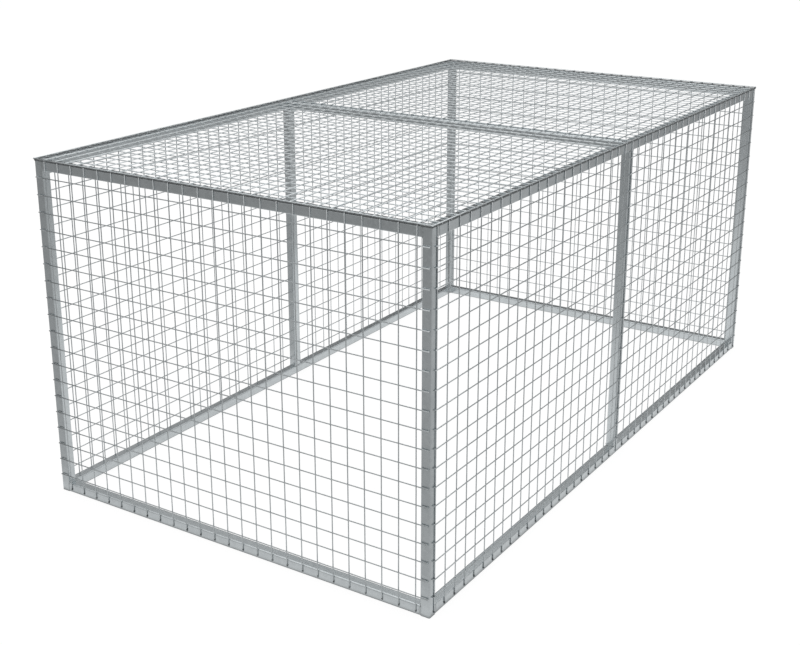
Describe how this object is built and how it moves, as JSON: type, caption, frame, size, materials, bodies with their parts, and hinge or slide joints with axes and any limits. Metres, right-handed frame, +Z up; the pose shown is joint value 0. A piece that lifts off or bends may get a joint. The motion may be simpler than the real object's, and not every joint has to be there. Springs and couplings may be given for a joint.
{
  "type": "wire mesh cage",
  "caption": "Rigid rectangular galvanised steel cage: a square tube frame with welded wire mesh on the sides and top, and an open bottom that stands on the floor or over goods.",
  "frame": {"origin": "centre of the footprint, on the plane the bottom rails stand on", "axes": "+X along the length, +Y along the width, +Z up; the front is the long side at -Y and the left end is at -X"},
  "size_m": [2.2526, 1.2926, 1.0063],
  "materials": {
    "tube": "hot-dip galvanised, dull satin zinc",
    "wire": "galvanised wire, satin zinc",
    "plate": "hot-dip galvanised, dull satin zinc"
  },
  "bodies": {
    "root": {"corner_post_left_front": "tube", "corner_post_left_back": "tube", "corner_post_right_front": "tube", "corner_post_right_back": "tube", "mid_post_front": "tube", "mid_post_back": "tube", "bottom_rail_front": "tube", "bottom_rail_back": "tube", "bottom_rail_left": "tube", "bottom_rail_right": "tube", "top_rail_front": "tube", "top_rail_back": "tube", "top_rail_left": "tube", "top_rail_right": "tube", "top_cross_member": "tube", "bottom_cap_left_front": "plate", "bottom_cap_left_back": "plate", "bottom_cap_right_front": "plate", "bottom_cap_right_back": "plate", "top_cap_left_front": "plate", "top_cap_left_back": "plate", "top_cap_right_front": "plate", "top_cap_right_back": "plate", "mesh_front": "wire", "mesh_back": "wire", "mesh_left": "wire", "mesh_right": "wire", "mesh_top": "wire"}
  },
  "joints": []
}
